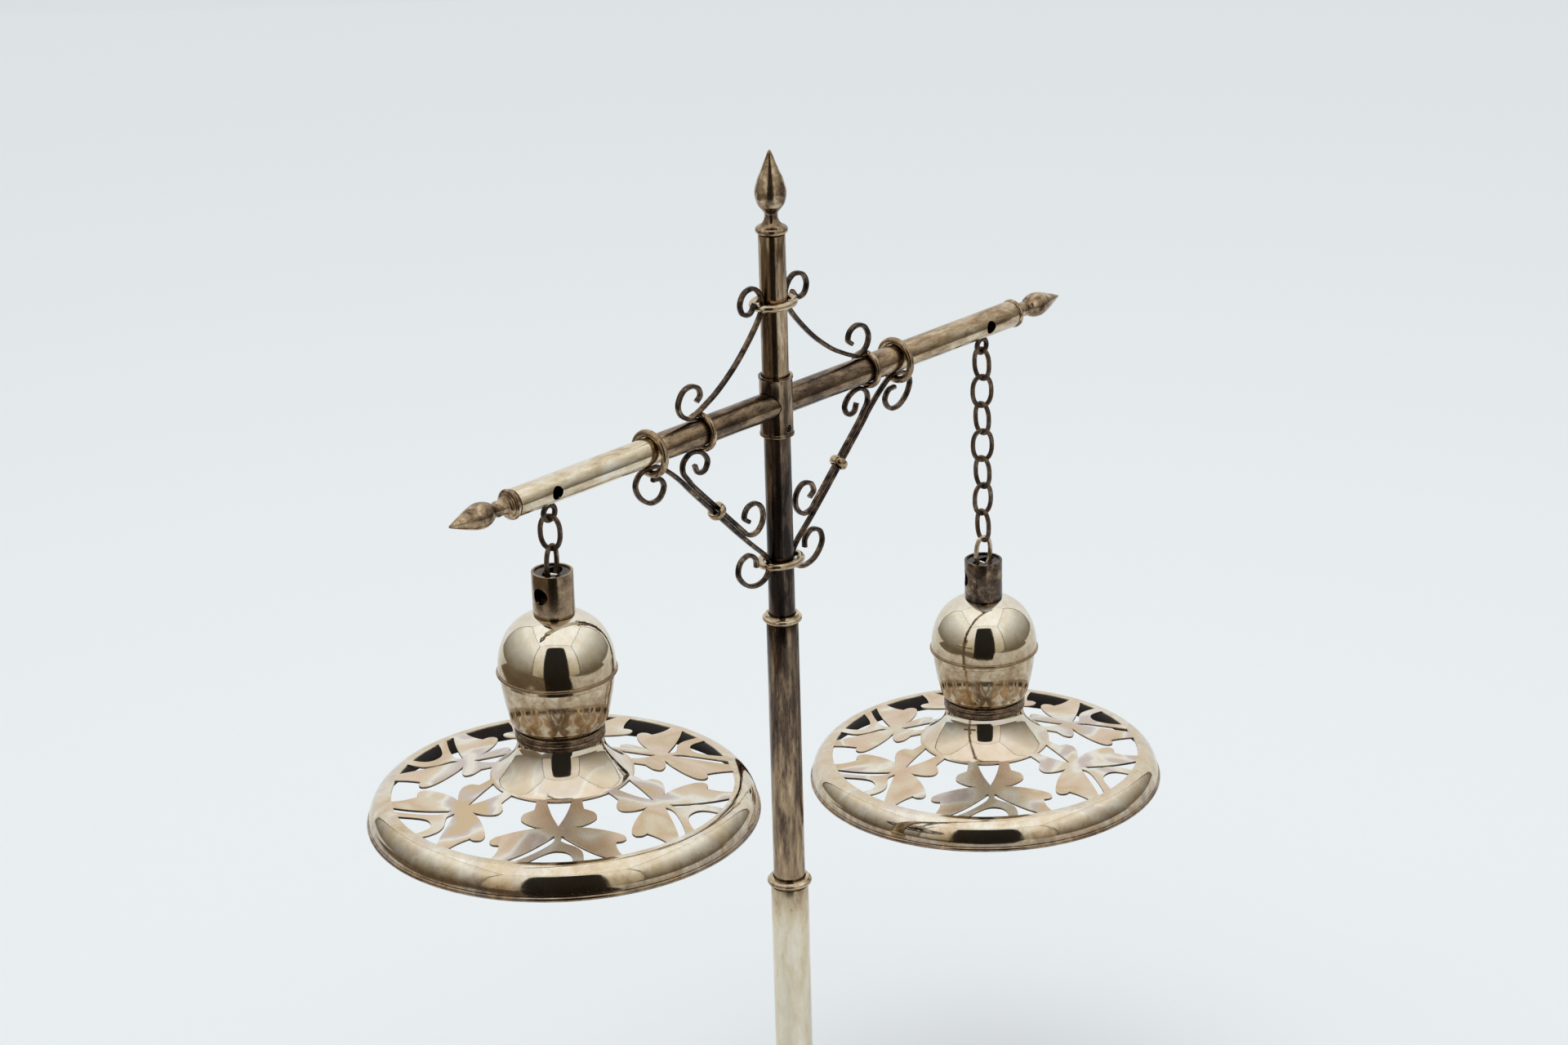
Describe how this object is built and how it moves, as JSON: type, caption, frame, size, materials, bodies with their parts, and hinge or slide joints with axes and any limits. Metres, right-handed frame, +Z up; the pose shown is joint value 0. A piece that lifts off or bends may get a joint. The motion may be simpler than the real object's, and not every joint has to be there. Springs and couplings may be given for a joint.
{
  "type": "two-light table lamp",
  "caption": "Table lamp shaped like a street-lamp post: stepped tube post on a weighted foot, scroll-braced crossbeam, domed heads with pierced shades on chains.",
  "frame": {"origin": "centre of the foot's underside, on the table", "axes": "+Z up along the post, +X along the crossbeam towards the long chain, +Y to the back"},
  "size_m": [0.369, 0.14, 0.4317],
  "materials": {
    "polished_silver": "polished silver, lightly toned",
    "dark_silver": "oxidised silver with worn bright streaks",
    "toned_silver": "polished silver with golden toning",
    "brass": "turned brass",
    "steel": "blued steel",
    "iron": "rough cast",
    "baize": "green baize"
  },
  "bodies": {
    "stand": {"base_plate": "baize", "base_shell": "polished_silver", "base_weight": "iron", "base_nut": "iron", "cord_bush": "brass", "collar_base": "polished_silver", "post_lower": "polished_silver", "collar_lower": "toned_silver", "post_middle": "dark_silver", "collar_upper": "toned_silver", "post_upper": "dark_silver", "cross_sleeve": "dark_silver", "grub_screw": "steel", "post_top": "dark_silver", "finial_top": "dark_silver", "crossbeam": "dark_silver", "finial_left": "dark_silver", "finial_right": "dark_silver", "chain_eye_left": "dark_silver", "chain_eye_right": "dark_silver", "post_band_upper": "toned_silver", "post_band_lower": "toned_silver", "beam_band_inner_left": "toned_silver", "beam_band_inner_right": "toned_silver", "beam_band_outer_left": "toned_silver", "beam_band_outer_right": "toned_silver", "brace_upper_left": "dark_silver", "brace_upper_right": "dark_silver", "strut_left": "dark_silver", "strut_right": "dark_silver", "scroll_left": "dark_silver", "scroll_right": "dark_silver", "knot_left": "toned_silver", "knot_right": "toned_silver"},
    "link_left_1": {"link_left_1": "dark_silver"},
    "link_left_2": {"link_left_2": "dark_silver"},
    "head_left": {"cap_left": "polished_silver", "hang_pin_left": "dark_silver", "nipple_left": "brass", "dome_left": "polished_silver", "cup_left": "polished_silver", "neck_ring_left": "dark_silver", "lampholder_left": "brass", "shade_left": "polished_silver"},
    "link_right_1": {"link_right_1": "dark_silver"},
    "link_right_2": {"link_right_2": "dark_silver"},
    "link_right_3": {"link_right_3": "dark_silver"},
    "link_right_4": {"link_right_4": "dark_silver"},
    "link_right_5": {"link_right_5": "dark_silver"},
    "link_right_6": {"link_right_6": "dark_silver"},
    "link_right_7": {"link_right_7": "dark_silver"},
    "link_right_8": {"link_right_8": "dark_silver"},
    "head_right": {"cap_right": "polished_silver", "hang_pin_right": "dark_silver", "nipple_right": "brass", "dome_right": "polished_silver", "cup_right": "polished_silver", "neck_ring_right": "dark_silver", "lampholder_right": "brass", "shade_right": "polished_silver"}
  },
  "joints": [
    {"name": "link_left_1_swing", "type": "hinge", "parent": "stand", "child": "link_left_1", "pos_m": [-0.1145, 0, 0.3249], "axis": [1, 0, 0], "range_deg": [-15, 15]},
    {"name": "link_left_2_swing", "type": "hinge", "parent": "link_left_1", "child": "link_left_2", "pos_m": [-0.1145, 0, 0.31375], "axis": [0.4067, -0.9135, 0], "range_deg": [-15, 15]},
    {"name": "head_left_swing", "type": "hinge", "parent": "link_left_2", "child": "head_left", "pos_m": [-0.1145, 0, 0.3026], "axis": [-0.9455, -0.3256, 0], "range_deg": [-15, 15]},
    {"name": "link_right_1_swing", "type": "hinge", "parent": "stand", "child": "link_right_1", "pos_m": [0.1145, 0, 0.3249], "axis": [1, 0, 0], "range_deg": [-10, 10]},
    {"name": "link_right_2_swing", "type": "hinge", "parent": "link_right_1", "child": "link_right_2", "pos_m": [0.1145, 0, 0.31375], "axis": [-0.0175, -0.9998, 0], "range_deg": [-10, 10]},
    {"name": "link_right_3_swing", "type": "hinge", "parent": "link_right_2", "child": "link_right_3", "pos_m": [0.1145, 0, 0.3026], "axis": [-0.829, 0.5592, 0], "range_deg": [-10, 10]},
    {"name": "link_right_4_swing", "type": "hinge", "parent": "link_right_3", "child": "link_right_4", "pos_m": [0.1145, 0, 0.29145], "axis": [0.1045, 0.9945, 0], "range_deg": [-10, 10]},
    {"name": "link_right_5_swing", "type": "hinge", "parent": "link_right_4", "child": "link_right_5", "pos_m": [0.1145, 0, 0.2803], "axis": [0.788, -0.6157, 0], "range_deg": [-10, 10]},
    {"name": "link_right_6_swing", "type": "hinge", "parent": "link_right_5", "child": "link_right_6", "pos_m": [0.1145, 0, 0.26915], "axis": [-0.0698, -0.9976, 0], "range_deg": [-10, 10]},
    {"name": "link_right_7_swing", "type": "hinge", "parent": "link_right_6", "child": "link_right_7", "pos_m": [0.1145, 0, 0.258], "axis": [-0.9613, 0.2756, 0], "range_deg": [-10, 10]},
    {"name": "link_right_8_swing", "type": "hinge", "parent": "link_right_7", "child": "link_right_8", "pos_m": [0.1145, 0, 0.24685], "axis": [0.225, 0.9744, 0], "range_deg": [-10, 10]},
    {"name": "head_right_swing", "type": "hinge", "parent": "link_right_8", "child": "head_right", "pos_m": [0.1145, 0, 0.2357], "axis": [0.9945, -0.1045, 0], "range_deg": [-14, 14]}
  ]
}
